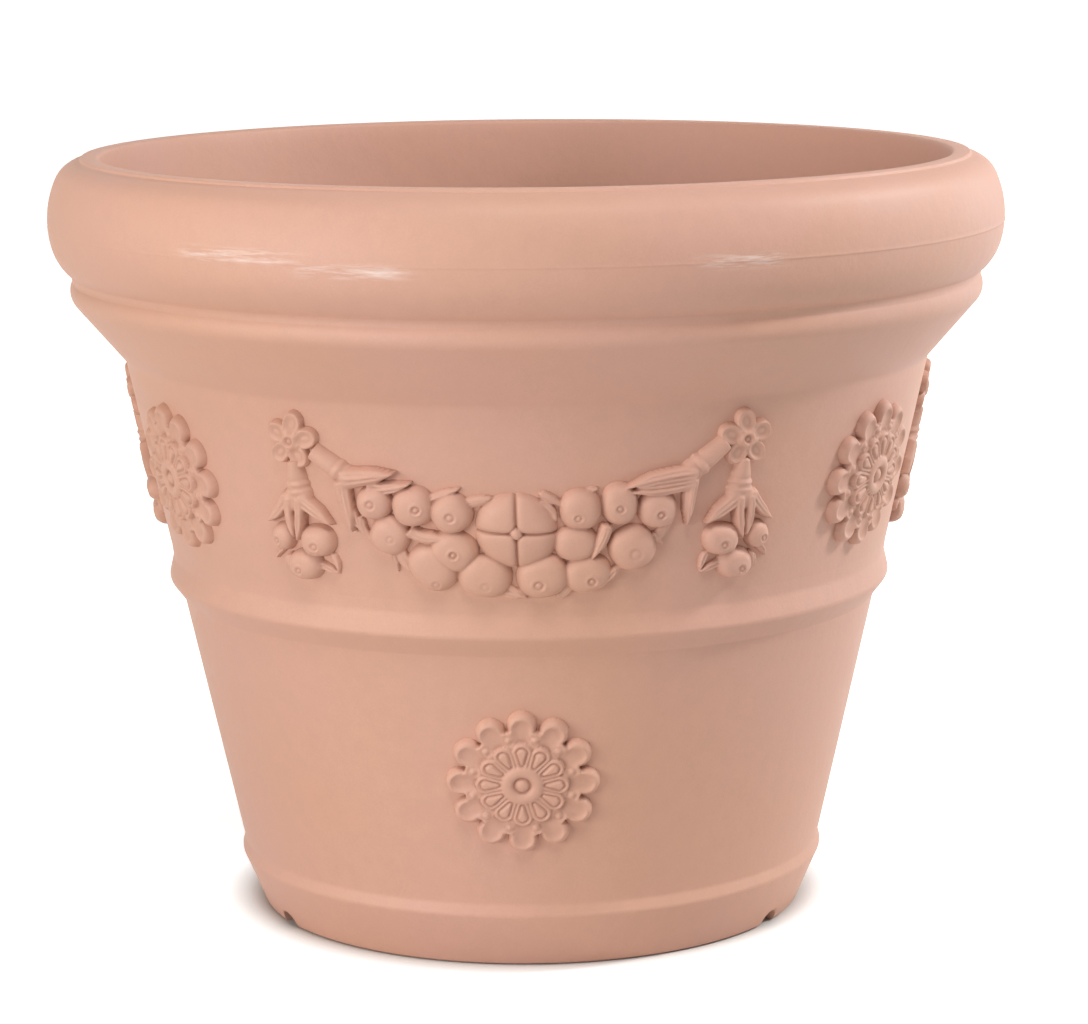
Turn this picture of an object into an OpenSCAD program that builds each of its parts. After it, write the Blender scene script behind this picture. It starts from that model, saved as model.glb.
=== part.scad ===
/* [Overall size] */
// Height from the ground to the top of the lip
height = 478; // [440:1:520]
// Largest diameter, across the roll of the rim
rim_d = 600; // [560:1:640]
// Diameter of the foot where it meets the ground
foot_d = 344; // [320:1:370]
// Thickness of the wall, measured level
wall_t = 14; // [10:0.5:20]

/* [Foot and floor] */
// Thickness of the floor slab
floor_t = 16; // [12:1:24]
// How high the underside of the floor stands above the ground
floor_lift = 11; // [10:0.5:16]
// Width of the ring that the pot stands on
foot_ring_w = 20; // [15:1:28]
// Diameter of the drain hole in the middle of the floor
drain_d = 32; // [20:1:44]
// Number of drain notches cut in the foot ring
notches = 3; // [3:1:6]
// Radius of each half-round drain notch
notch_r = 8.5; // [5:0.5:9.5]
// Height of the foot band above the ground
foot_band_z = 34; // [30:1:40]
// How far the foot band stands out from the wall
foot_band_out = 3.4; // [2:0.2:5]

/* [Bands] */
// Height of the upper band, from the waist bead up to the cove
upper_band_h = 118; // [106:1:130]
// How far the waist bead stands out from the wall
waist_out = 6.2; // [4:0.2:8]

/* [Rim] */
// How far the roll of the rim stands out from the line of the wall
roll_out = 19.6; // [15:0.2:24]
// Depth from the lip down to the widest line of the roll
roll_mid_drop = 39; // [36:0.5:42]
// Depth from the lip down to the crest of the small bead under the roll
bead_drop = 82.5; // [79:0.5:86]
// How far the small bead stands in from the widest line of the roll
bead_in = 13.7; // [12:0.2:16]
// Slope of the cove under the small bead, from upright
cove_angle = 40.5; // [36:0.5:45]
// How far the lip stands in from the line of the wall
lip_in = 2; // [1:0.5:4]
// Height of the step between the roll and the lip
lip_step = 1.8; // [1:0.1:2.5]

/* [Swags] */
// Distance along the wall from the middle of a swag to its end flower
swag_half = 136.5; // [130:0.5:142]
// Height of the end flowers above the middle of the upper band
flower_up = 36.5; // [34:0.5:40]
// Radius of an end flower
flower_r = 18; // [15:0.5:20]
// How far the flowers stand proud of the wall
flower_proud = 5; // [3:0.5:8]
// How far the round fruits stand proud of the wall
fruit_proud = 8; // [6:0.5:10]
// Thickness of the clay bed round the fruits
bed_t = 2.8; // [1.5:0.1:4]

/* [Rosettes] */
// Radius of a rosette over its outer petals
rosette_r = 46; // [42:0.5:48]
// Number of outer petals, and of inner petals
petals = 12; // [8:1:16]
// How far the outer petals stand proud of the wall
petal_proud = 5.5; // [4:0.5:8]
// How far the inner flower stands proud of the wall
daisy_proud = 7; // [5.5:0.5:9]

/* [Hidden] */
clay = [0.85, 0.66, 0.57];
clay_pale = [0.87, 0.69, 0.60];
$fn = 72;

// Line of the wall's outer face: a cone from the foot band to the lip
wall_foot_r = foot_d / 2 + 4.4;
wall_lip_r = rim_d / 2 - roll_out;
wall_lean = atan((wall_lip_r - wall_foot_r) / height);
function wall_r(z) = wall_foot_r + (wall_lip_r - wall_foot_r) * z / height;

// Heights that the ornaments and bands share
floor_z = floor_lift + floor_t;
cove_slope = tan(cove_angle);
bead_r = 12;
bead_mid = [rim_d / 2 - bead_in - bead_r, height - bead_drop];
cove_top = bead_mid + bead_r * [cos(cove_angle), -sin(cove_angle)];
neck_z = (cove_top[1] * cove_slope - cove_top[0] + wall_foot_r)
    / (cove_slope - (wall_lip_r - wall_foot_r) / height);
waist_top_z = neck_z - upper_band_h;
waist_z = waist_top_z - 19;
waist_under_z = waist_z - 14.5;
frieze_z = (waist_top_z + neck_z) / 2 - 1;
lower_band_z = (foot_band_z + 7 + waist_under_z) / 2;
swag_step = 120;

// Points along an arc
function arc(mid, r, from, to, steps) =
    [for (i = [0:steps]) mid + r * [cos(from + (to - from) * i / steps), sin(from + (to - from) * i / steps)]];

// Corner b between a and c, rounded to radius r, or less where its sides are short
function rounded_corner(a, b, c, r, steps) =
    let (u = (a - b) / norm(a - b),
        v = (c - b) / norm(c - b),
        half = acos(u * v) / 2,
        reach = min(r / tan(half), 0.48 * norm(a - b), 0.48 * norm(c - b)),
        mid = b + (u + v) / norm(u + v) * reach / cos(half),
        start = b + u * reach - mid,
        end = b + v * reach - mid,
        from = atan2(start[1], start[0]),
        turn = atan2(end[1], end[0]) - from)
    arc(mid, norm(start), from, from + turn - 360 * round(turn / 360), steps);

// Outline through corners given as [radius from the axis, height, rounding]
function rounded_outline(corners) = [
    for (i = [0:len(corners) - 1])
        let (n = len(corners),
            before = corners[(i + n - 1) % n],
            here = corners[i],
            after = corners[(i + 1) % n])
        if (here[2] == 0) [here[0], here[1]]
        else each rounded_corner([before[0], before[1]], [here[0], here[1]], [after[0], after[1]], here[2], 6)];

// Roll of the rim: four arcs that run into each other, from the groove up to the lip
roll_under_r = 34;
roll_low_r = 60;
roll_high_r = 62;
roll_shoulder_r = 20;
roll_mid_z = height - roll_mid_drop;
roll_low_mid = [rim_d / 2 - roll_low_r, roll_mid_z];
roll_high_mid = [rim_d / 2 - roll_high_r, roll_mid_z];
under_turn = 15;
shoulder_turn = 24;
roll_under_mid = roll_low_mid + (roll_low_r - roll_under_r) * [cos(under_turn), -sin(under_turn)];
roll_shoulder_mid = roll_high_mid + (roll_high_r - roll_shoulder_r) * [cos(shoulder_turn), sin(shoulder_turn)];
function roll_points() = concat(
    arc(roll_under_mid, roll_under_r, -52, -under_turn, 6),
    arc(roll_low_mid, roll_low_r, -under_turn + 3, 0, 4),
    arc(roll_high_mid, roll_high_r, 4, shoulder_turn, 5),
    arc(roll_shoulder_mid, roll_shoulder_r, shoulder_turn + 9, 76, 6));

lip_outer_r = wall_lip_r - lip_in;
foot_ring_in_r = foot_d / 2 - foot_ring_w;

// Outer side of the body, from the ground up to the lip
outer_corners = concat(
    [[foot_d / 2, 0, 3],
        [wall_r(foot_band_z) + foot_band_out, foot_band_z, 5],
        [wall_r(foot_band_z + 7), foot_band_z + 7, 6],
        [wall_r(waist_under_z), waist_under_z, 4],
        [wall_r(waist_z) + waist_out - 0.2, waist_z - 2.5, 5],
        [wall_r(waist_z) + waist_out - 1.4, waist_z + 3, 8],
        [wall_r(waist_top_z - 8) + 0.6, waist_top_z - 8, 9],
        [wall_r(waist_top_z), waist_top_z, 9],
        [wall_r(neck_z), neck_z, 20]],
    [for (p = arc(bead_mid, bead_r, -cove_angle, 28, 8)) [p[0], p[1], 0]],
    [for (p = roll_points()) [p[0], p[1], 0]],
    [[lip_outer_r, height - lip_step, 0.8],
        [lip_outer_r - 0.8, height, 1.6]]);
inner_corners = [
    [wall_lip_r - wall_t, height, 3],
    [wall_r(floor_z) - wall_t, floor_z, 16],
    [0, floor_z, 0],
    [0, floor_lift, 0],
    [foot_ring_in_r, floor_lift, 5],
    [foot_ring_in_r + 3, 0, 3]];

// Wall, floor, foot ring, bands and rolled rim, pressed as one piece
module pot_body() {
    color(clay) difference() {
        rotate_extrude($fn = 180) polygon(rounded_outline(concat(outer_corners, inner_corners)));
        translate([0, 0, floor_lift - 1]) cylinder(d = drain_d, h = floor_t + 2);
        for (i = [0:notches - 1])
            rotate([0, 0, 180 + 360 * i / notches])
                translate([0, -foot_ring_in_r + 12, 0])
                    rotate([90, 0, 0]) cylinder(r = notch_r, h = foot_ring_w + 24);
    }
}

// Solid cone inside the line of the wall, grown out from its face by thick
module wall_cone(thick) {
    below = 20;
    grow = thick / cos(wall_lean);
    translate([0, 0, -below])
        cylinder(r1 = wall_r(-below) + grow, r2 = wall_r(height) + grow, h = height + below, $fn = 180);
}

// All that lies inside the outer side of the body
module body_core() {
    rotate_extrude($fn = 180) polygon(rounded_outline(concat(outer_corners, [[0, height, 0], [0, 0, 0]])));
}

// Places children at x along the wall and y up it from height base_z, with +Z out of the wall
module on_wall(base_z, x, y) {
    z = base_z + y * cos(wall_lean);
    rotate([0, 0, x / wall_r(z) * 180 / PI])
        translate([0, -wall_r(z), z])
            rotate([90 + wall_lean, 0, 0]) children();
}

// Cap of a sphere that is r wide at the wall and stands proud by rise, with or without a calyx eye
module fruit(x, y, r, eye = true) {
    rise = fruit_proud * min(1, r / 12);
    ball_r = (r * r + rise * rise) / (2 * rise);
    on_wall(frieze_z, x, y) {
        translate([0, 0, rise - ball_r]) sphere(ball_r);
        if (eye) translate([0, 0, rise - 0.3]) rotate_extrude($fn = 32) translate([1.8, 0]) circle(0.8, $fn = 20);
    }
}

// Low cap of clay that joins the fruits on it
module fruit_bed(x, y, r) {
    ball_r = (r * r + bed_t * bed_t) / (2 * bed_t);
    on_wall(frieze_z, x, y) translate([0, 0, bed_t - ball_r]) sphere(ball_r);
}

// Plump pointed leaf along local X, fullest near its stalk, with both tips bedded under the wall's face
module leaf(x, y, turn, long, wide) {
    rings = 6;
    sink = 0.9 + pow(long / 2 * cos(turn), 2) / (2 * wall_r(frieze_z));
    on_wall(frieze_z, x, y) translate([0, 0, -sink]) rotate([0, 0, turn]) rotate([0, 90, 0]) rotate_extrude($fn = 48)
        polygon(concat([[0, -long / 2]],
            [for (i = [1:rings - 1]) [(wide / 2 + sink * 0.6) * pow(sin(180 * pow(i / rings, 0.8)), 0.9), long * (i / rings - 0.5)]],
            [[0, long / 2]]));
}

// Round stem along local X, from its thin end, with a collar at its thick end
module stem(x, y, turn, long, thin_r, thick_r) {
    collar_r = thick_r + 1.2;
    on_wall(frieze_z, x, y) rotate([0, 0, turn]) rotate([0, 90, 0]) {
        cylinder(r1 = thin_r, r2 = thick_r, h = long, $fn = 48);
        translate([0, 0, long - 5]) cylinder(r = collar_r, h = 3.6, $fn = 48);
    }
}

// Spring of a swag's leaves, either side of its middle: [along the wall, up the wall]
sheaf = [104, 17];
// Fruits of a swag: [along the wall, up the wall, radius, 1 where the calyx eye shows]
swag_fruits = [
    [-86.5, -1, 10.5, 1], [-60.5, -1, 11.5, 1], [-37.5, -6, 11.5, 1],
    [34.5, -4, 12.5, 1], [57.5, -2, 11, 1], [80.5, -5, 12, 1],
    [-76.5, -20.5, 12, 0], [-36.5, -29.5, 13.5, 1], [31.5, -24.5, 12, 0], [65.5, -27.5, 13.5, 1],
    [-52.5, -41, 13.5, 1], [-20.5, -43, 13.5, 1], [13.5, -43, 13, 1], [39.5, -42, 12.5, 1]];
// Caps of clay under the fruits of a swag: [along the wall, up the wall, radius up the wall]
swag_beds = [[-70, -14, 17], [-42, -25, 23], [-8, -26, 24], [26, -26, 24], [58, -18, 19]];
// Quartered fruit in the middle of a swag: its middle, the offset of its lobes and their radius
quarter_mid = [-1.5, -16];
quarter_off = 11.5;
quarter_r = 14;
// Leaves of a swag: [along the wall, up the wall, direction, length, width]
swag_leaves = [
    [-88, 18, 184, 38, 10], [-82, 12, 190, 44, 10], [-99, 2, 100, 36, 9],
    [82, 15, 4, 44, 10], [88, 19, -2, 34, 9], [97, 2, 92, 36, 9],
    [-44, 7, 20, 26, 8], [-22, 4, 25, 20, 7], [17, 2, -35, 22, 8], [45, 7, 60, 14, 7],
    [-92, -18, -75, 22, 7], [-67, -36, -70, 22, 8], [-51, -19, 0, 30, 9],
    [0, -52, 20, 18, 7], [26, -50, 35, 20, 8], [48.5, -25, 62, 26, 8], [55, -42, 60, 20, 7], [83, -20, 50, 18, 7]];
// Fruits and leaves of a pendant, from the middle of its flower, along the wall and down it
pendant_fruits = [[-18, -63.5, 11.5, 1], [10, -63.5, 9.5, 1], [-5, -78, 11, 1]];
pendant_leaves = [
    [-17.5, -43, 33, 34, 10], [-4.5, -47, -88, 34, 9], [3, -44, -72, 28, 8], [9.5, -43, -60, 28, 9],
    [-27, -75, 30, 18, 7], [7, -79, -65, 18, 7], [14, -73, -70, 16, 6]];

// Radius of a flower's petals, and of its middle
flower_petal_r = flower_r * 0.4;
flower_mid_r = flower_r * 0.36;

// Outline prism of the end flower, grown by gap, from under the wall face to well above it
module flower_outline(x, gap) {
    on_wall(frieze_z, x, flower_up) {
        translate([0, 0, -6]) cylinder(r = flower_mid_r + gap, h = 24);
        for (i = [0:4])
            rotate([0, 0, 90 + 72 * i])
                translate([flower_r - flower_petal_r, 0, -6]) cylinder(r = flower_petal_r + gap, h = 24);
    }
}

// Round petal with its top hollowed to a dish of radius open, whose middle lies shift along X
module dished_petal(r, top, shift, open, depth) {
    ball_r = (open * open + depth * depth) / (2 * depth);
    difference() {
        translate([0, 0, -3]) cylinder(r = r, h = top + 3);
        translate([shift, 0, top - depth + ball_r]) sphere(ball_r);
    }
}

// Strap from under an end flower down to the spring of the leaves; side is -1 left or 1 right
module strap(side) {
    from = [side * (swag_half - 9), flower_up - 4];
    way = [side * sheaf[0], sheaf[1]] - from;
    stem(from[0], from[1], atan2(way[1], way[0]), norm(way), 5.5, 6.6);
}

// Swag of fruits and leaves between two straps
module swag(index) {
    strap_gap = 0.3;
    color(clay_pale) rotate([0, 0, swag_step * (index - 1)]) difference() {
        union() {
            for (f = swag_fruits) fruit(f[0], f[1], f[2], f[3] == 1);
            for (b = swag_beds) fruit_bed(b[0], b[1], b[2]);
            for (sx = [-1, 1], sy = [-1, 1])
                fruit(quarter_mid[0] + sx * quarter_off, quarter_mid[1] + sy * quarter_off, quarter_r, false);
            for (l = swag_leaves) leaf(l[0], l[1], l[2], l[3], l[4]);
            for (side = [-1, 1]) strap(side);
        }
        body_core();
        flower_outline(-swag_half, strap_gap);
        flower_outline(swag_half, strap_gap);
    }
}

// Five-petalled flower that covers the end of a strap and of a pendant; side is -1 left or 1 right
module flower(index, side) {
    dish_depth = 1.9;
    color(clay_pale) rotate([0, 0, swag_step * (index - 1)]) difference() {
        on_wall(frieze_z, side * swag_half, flower_up) {
            for (i = [0:4])
                rotate([0, 0, 90 + 72 * i]) translate([flower_r - flower_petal_r, 0, 0])
                    dished_petal(flower_petal_r, flower_proud - 0.15 * i, 0, flower_petal_r - 1.3, dish_depth);
            translate([0, 0, -3]) cylinder(r = flower_mid_r, h = flower_proud + 1.8);
            translate([0, 0, flower_proud - 3.2]) sphere(4.4);
        }
        body_core();
    }
}

// Stem, leaves and three fruits that hang from an end flower; side is -1 left or 1 right
module pendant(index, side) {
    color(clay_pale) rotate([0, 0, swag_step * (index - 1)]) mirror([side < 0 ? 1 : 0, 0, 0]) difference() {
        union() {
            for (f = pendant_fruits) fruit(swag_half + f[0], flower_up + f[1], f[2], f[3] == 1);
            for (f = pendant_fruits) fruit_bed(swag_half + f[0], flower_up + f[1], f[2] + 5);
            for (l = pendant_leaves) leaf(swag_half + l[0], flower_up + l[1], l[2], l[3], l[4]);
            stem(swag_half + 1, flower_up - 9, -98, 24, 4.8, 6.6);
        }
        body_core();
        flower_outline(swag_half, 0.3);
    }
}

// Teardrop along +X from its narrow end at tip, grown by gap
module teardrop(tip, tip_half, mid, r, gap) {
    translate([mid, 0]) circle(r + gap, $fn = 32);
    polygon([[tip, -tip_half - gap], [mid, -r - gap], [mid, r + gap], [tip, tip_half + gap]]);
}

// Round ornament: a ring of dished petals, a raised inner flower of outlined petals and a button
module rosette(base_z, turn) {
    step = 360 / petals;
    petal_mid = rosette_r / (1 + sin(step / 2) * 0.97);
    petal_r = rosette_r - petal_mid;
    dish_depth = 2.4;
    pearl_r = 2.4;
    pearl_mid = petal_mid - petal_r * 0.62;
    daisy_r = rosette_r * 0.625;
    daisy_mid = daisy_r / (1 + sin(step / 2) * 0.96);
    daisy_petal_r = daisy_r - daisy_mid;
    groove_depth = 1.2;
    ring_mid = rosette_r * 0.2;
    ring_r = rosette_r * 0.09;
    seat = daisy_mid * 0.8;
    color(clay_pale) rotate([0, 0, turn]) difference() {
        union() {
            intersection() {
                wall_cone(petal_proud - dish_depth - 0.6);
                on_wall(base_z, 0, 0) translate([0, 0, -8]) cylinder(r = petal_mid - 1, h = 24);
            }
            for (i = [0:petals - 1])
                on_wall(base_z, petal_mid * cos(90 + step * i), petal_mid * sin(90 + step * i))
                    rotate([0, 0, 90 + step * i])
                        dished_petal(petal_r, petal_proud, -petal_r * 0.27, petal_r * 0.9, dish_depth);
            intersection() {
                wall_cone(daisy_proud - 2.4);
                on_wall(base_z, 0, 0) translate([0, 0, -8]) cylinder(r = daisy_mid - 1, h = 24);
            }
            for (i = [0:petals - 1])
                on_wall(base_z, seat * cos(90 + step * i), seat * sin(90 + step * i))
                    rotate([0, 0, 90 + step * i]) difference() {
                        translate([0, 0, -3]) linear_extrude(daisy_proud + 3)
                            teardrop(ring_mid - seat, ring_mid * tan(step / 2) * 0.93, daisy_mid - seat, daisy_petal_r, 0);
                        translate([0, 0, daisy_proud - groove_depth]) linear_extrude(4) difference() {
                            teardrop(ring_mid + ring_r + 1.2 - seat, 0.9, daisy_mid - seat, daisy_petal_r - 2.8, 1.2);
                            teardrop(ring_mid + ring_r + 1.2 - seat, 0.9, daisy_mid - seat, daisy_petal_r - 2.8, 0);
                        }
                    }
            on_wall(base_z, 0, 0) translate([0, 0, daisy_proud - 1.6])
                rotate_extrude() translate([ring_mid, 0]) circle(ring_r, $fn = 32);
            on_wall(base_z, 0, 0) translate([0, 0, daisy_proud - 4]) sphere(ring_r * 1.25, $fn = 40);
            for (i = [0.5:petals - 0.5])
                on_wall(base_z, pearl_mid * cos(90 + step * i), pearl_mid * sin(90 + step * i))
                    rotate_extrude($fn = 32)
                        polygon(concat([[0, 1], [pearl_r, 1]], arc([0, petal_proud - 1.8], pearl_r, 0, 90, 4)));
        }
        body_core();
    }
}

pot_body();
swag(1);  // swag_1
swag(2);  // swag_2
swag(3);  // swag_3
flower(1, -1);  // flower_1_left
flower(1, 1);  // flower_1_right
flower(2, -1);  // flower_2_left
flower(2, 1);  // flower_2_right
flower(3, -1);  // flower_3_left
flower(3, 1);  // flower_3_right
pendant(1, -1);  // pendant_1_left
pendant(1, 1);  // pendant_1_right
pendant(2, -1);  // pendant_2_left
pendant(2, 1);  // pendant_2_right
pendant(3, -1);  // pendant_3_left
pendant(3, 1);  // pendant_3_right
rosette(frieze_z, swag_step * 0.5);  // upper_rosette_1
rosette(frieze_z, swag_step * 1.5);  // upper_rosette_2
rosette(frieze_z, swag_step * 2.5);  // upper_rosette_3
rosette(lower_band_z, 0);  // lower_rosette_1
rosette(lower_band_z, swag_step);  // lower_rosette_2
rosette(lower_band_z, swag_step * 2);  // lower_rosette_3
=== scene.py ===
"""Terracotta flower pot with fruit swags and rosettes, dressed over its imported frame."""

import copy
import math

import bpy
import numpy as np
from bpy.props import FloatProperty, FloatVectorProperty, PointerProperty
from mathutils import Matrix, Vector


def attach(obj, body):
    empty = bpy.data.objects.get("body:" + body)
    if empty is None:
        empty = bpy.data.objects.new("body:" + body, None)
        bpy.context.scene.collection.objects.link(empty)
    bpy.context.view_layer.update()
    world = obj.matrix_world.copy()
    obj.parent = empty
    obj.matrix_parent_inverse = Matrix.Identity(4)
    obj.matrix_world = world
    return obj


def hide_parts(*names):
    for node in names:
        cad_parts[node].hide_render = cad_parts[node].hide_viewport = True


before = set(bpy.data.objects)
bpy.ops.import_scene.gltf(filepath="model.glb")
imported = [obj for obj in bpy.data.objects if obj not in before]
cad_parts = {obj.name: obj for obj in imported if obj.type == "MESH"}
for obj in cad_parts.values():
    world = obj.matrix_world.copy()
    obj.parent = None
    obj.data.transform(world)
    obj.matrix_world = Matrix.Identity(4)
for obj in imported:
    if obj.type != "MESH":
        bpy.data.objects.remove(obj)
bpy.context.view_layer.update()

bl_info = {
    "name": "Swagged terracotta pot",
    "version": (1, 0, 0),
    "blender": (4, 5, 0),
    "location": "3D View > Sidebar > Pot",
    "description": "Builds the pot's body, its pressed clay sprigs and a plain studio",
    "category": "Object",
}

MM = 0.001

# Line of the wall's outer face, in mm: a cone from the ground up to the lip
HEIGHT = 478.0
WALL_FOOT_R = 176.4
WALL_LIP_R = 280.4
SLOPE = (WALL_LIP_R - WALL_FOOT_R) / HEIGHT
LEAN = math.atan(SLOPE)
# Heights, in mm, that the sprigs are set out from, and the turns of the pot's three like thirds
SWAG_Z = 292.0
LOWER_BAND_Z = 122.0
THIRD_TURNS = (0.0, 120.0, 240.0)
# Places on the wall, in mm along it from the middle of a third and up it from SWAG_Z
SWAG_MID = (0.0, 2.7)
FLOWER_MIDS = {"left": (-138.0, 37.0), "right": (136.5, 37.5)}
# Foot band: the pot's radius on the ground, and the band's top edge, out from the wall
FOOT_R = 172.0
FOOT_BAND_Z = 34.0
FOOT_BAND_OUT = 3.4
# Rolled rim: where it is widest, the radius of the arc below that, and how many degrees down that
# arc the mould's parting line runs
ROLL_R = 299.3
ROLL_Z = 439.0
ROLL_LOW_R = 60.0
SEAM_FALL = 3.6
SEAM_Z = ROLL_Z - ROLL_LOW_R * math.sin(math.radians(SEAM_FALL))


def wall_r(z):
    """Radius of the wall's outer face at height z, in mm."""
    return WALL_FOOT_R + SLOPE * z


def linear(hex_value):
    """Linear RGBA of an sRGB hex value."""
    out = []
    for k in (1, 3, 5):
        c = int(hex_value[k : k + 2], 16) / 255
        out.append(c / 12.92 if c <= 0.04045 else ((c + 0.055) / 1.055) ** 2.4)
    return (*out, 1.0)


def in_mm(length):
    """Length of a property, in the millimetres that the shapes are set out in."""
    return length / MM


class PotSizes(bpy.types.PropertyGroup):
    """Sizes of the visible pot that a user would change."""

    fruit_proud: FloatProperty(
        name="Fruit relief",
        description="How far the fruits stand proud of the wall",
        default=0.008,
        min=0.004,
        max=0.01,
        precision=4,
        unit="LENGTH",
    )
    leaf_proud: FloatProperty(
        name="Leaf relief",
        description="How far the leaves stand proud of the wall",
        default=0.005,
        min=0.003,
        max=0.007,
        precision=4,
        unit="LENGTH",
    )
    rosette_proud: FloatProperty(
        name="Rosette relief",
        description="How far the rims of the rosette's petals stand proud of the wall",
        default=0.006,
        min=0.003,
        max=0.008,
        precision=4,
        unit="LENGTH",
    )
    grid_step: FloatProperty(
        name="Modelling grid",
        description="Spacing of the points on the sprigs",
        default=0.0006,
        min=0.0004,
        max=0.002,
        precision=5,
        unit="LENGTH",
    )
    parting_step: FloatProperty(
        name="Parting line",
        description="How far the mould's parting line stands out round the rim",
        default=0.00045,
        min=0.0,
        max=0.001,
        precision=5,
        unit="LENGTH",
    )


# What all colour properties share
COLOUR_PICKER = {"subtype": "COLOR", "size": 4, "min": 0, "max": 1}


class PotColours(bpy.types.PropertyGroup):
    """Colours of the fired clay and of the floor."""

    clay: FloatVectorProperty(
        name="Clay",
        description="Main colour of the fired clay",
        default=linear("#CC9D89"),
        **COLOUR_PICKER,
    )
    warm: FloatVectorProperty(
        name="Warm patches",
        description="Clay where the fire reached it most",
        default=linear("#CC9C7C"),
        **COLOUR_PICKER,
    )
    pink: FloatVectorProperty(
        name="Pink patches",
        description="Clay where the fire reached it least",
        default=linear("#CD9F90"),
        **COLOUR_PICKER,
    )
    scuff: FloatVectorProperty(
        name="Scuffs",
        description="Rubbed clay along the parting line",
        default=linear("#EBDAD2"),
        **COLOUR_PICKER,
    )
    # Painted shade: the colour that the sprigs' creases are drawn towards, the deeper the darker
    crease: FloatVectorProperty(
        name="Creases",
        description="Slip and dust in the creases of the sprigs",
        default=linear("#8C5B49"),
        **COLOUR_PICKER,
    )
    floor: FloatVectorProperty(
        name="Floor",
        description="Studio floor",
        default=linear("#DAD8D5"),
        **COLOUR_PICKER,
    )


# Profile of the body


def on_circle(mid, radius, angle):
    """Point of a circle, with its angle in degrees."""
    a = math.radians(angle)
    return mid[0] + radius * math.cos(a), mid[1] + radius * math.sin(a)


def arc(mid, radius, start, end, steps):
    """Points along an arc, with its angles in degrees."""
    return [on_circle(mid, radius, angle) for angle in np.linspace(start, end, steps + 1)]


def rounded(corners):
    """Outline through (radius, height, rounding) corners, with arcs at the rounded ones."""
    points = []
    count = len(corners)
    for i, (x, y, radius) in enumerate(corners):
        here = np.array((x, y))
        if radius == 0:
            points.append((x, y))
            continue
        before = np.array(corners[i - 1][:2])
        after = np.array(corners[(i + 1) % count][:2])
        back_length, on_length = np.linalg.norm(before - here), np.linalg.norm(after - here)
        u = (before - here) / back_length
        v = (after - here) / on_length
        half = math.acos(float(np.clip(u @ v, -1, 1))) / 2
        # An arc never takes up as much as half of the line that it shares with the next corner
        reach = min(radius / math.tan(half), 0.48 * back_length, 0.48 * on_length)
        mid = here + (u + v) / np.linalg.norm(u + v) * reach / math.cos(half)
        start = here + u * reach - mid
        end = here + v * reach - mid
        a0 = math.degrees(math.atan2(start[1], start[0]))
        turn = (math.degrees(math.atan2(end[1], end[0])) - a0 + 180) % 360 - 180
        size = float(np.linalg.norm(start))
        steps = max(4, int(abs(math.radians(turn)) * size))
        points += arc(mid, size, a0, a0 + turn, steps)
    return points


def outer_corners(parting):
    """Outer side of the body, from the ground up to the lip."""
    band_end = FOOT_BAND_Z + 7
    waist, waist_top = 215.1, 234.1
    neck_z = 352.1
    corners = [
        (FOOT_R, 0, 3),
        (wall_r(FOOT_BAND_Z) + FOOT_BAND_OUT, FOOT_BAND_Z, 5),
        (wall_r(band_end), band_end, 6),
        (wall_r(waist - 14.5), waist - 14.5, 4),
        (wall_r(waist) + 6.0, waist - 2.5, 5),
        (wall_r(waist) + 4.8, waist + 3, 8),
        (wall_r(waist_top - 8) + 0.6, waist_top - 8, 9),
        (wall_r(waist_top), waist_top, 9),
        (wall_r(neck_z), neck_z, 10),
    ]
    # From the neck, the wall runs straight out to the small bead under the roll
    bead = arc((274.3, HEIGHT - 82.5), 12, -40.5, 28, 20)
    # The roll is four arcs, each meeting the next in line: under, low, high and shoulder
    high_r, under_r, shoulder_r = 62.0, 34.0, 20.0
    low_mid = (ROLL_R - ROLL_LOW_R, ROLL_Z)
    high_mid = (ROLL_R - high_r, ROLL_Z)
    under_mid = on_circle(low_mid, ROLL_LOW_R - under_r, -15)
    shoulder_mid = on_circle(high_mid, high_r - shoulder_r, 24)
    roll = arc(under_mid, under_r, -52, -15, 24) + arc(low_mid, ROLL_LOW_R, -13.5, -SEAM_FALL, 8)
    seam_r = roll[-1][0]
    roll += [
        (seam_r + 0.1, SEAM_Z + 0.5),
        (seam_r + parting, SEAM_Z + 0.9),
        (seam_r + parting * 0.7, SEAM_Z + 1.6),
    ]
    roll += arc(high_mid, high_r, -1.2, 24, 22) + arc(shoulder_mid, shoulder_r, 28, 76, 18)
    corners += [(r, z, 0) for r, z in bead + roll]
    corners += [(WALL_LIP_R - 2, HEIGHT - 1.8, 0.8), (WALL_LIP_R - 2.8, HEIGHT, 1.6)]
    return corners


def body_profile(parting):
    """Closed outline of the body: up outside, down inside, and round its floor and foot."""
    wall_t, floor_low, floor_top, ring_in, drain = 14.0, 11.0, 27.0, 152.0, 16.0
    inner = [
        (WALL_LIP_R - wall_t, HEIGHT, 3),
        (wall_r(floor_top) - wall_t, floor_top, 16),
        (drain, floor_top, 1.5),
        (drain, floor_low, 1.5),
        (ring_in, floor_low, 5),
        (ring_in + 3, 0, 3),
    ]
    points = rounded(outer_corners(parting) + inner)
    # Long lines are split into parts of at most about 14 mm
    spaced = []
    for i, (r, z) in enumerate(points):
        r2, z2 = points[(i + 1) % len(points)]
        length = math.hypot(r2 - r, z2 - z)
        if length < 1e-4:
            continue
        parts = max(1, int(length / 7.0))
        spaced += [(r + (r2 - r) * k / parts, z + (z2 - z) * k / parts) for k in range(parts)]
    return np.array(spaced)


# Drain notches in the foot: half-round, at these turns from the front
NOTCH_R = 8.5
NOTCH_TURNS = (60.0, 180.0, 300.0)


def body_turns():
    """Turns of the body's points, in radians: every degree, and every quarter near a notch."""
    turns = set(np.arange(0, 360, 1.0).tolist())
    for middle in NOTCH_TURNS:
        turns |= set((middle + np.arange(-4.0, 4.01, 0.25)).round(3).tolist())
    return np.unique(np.radians(sorted(turn % 360 for turn in turns)).round(6))


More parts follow.
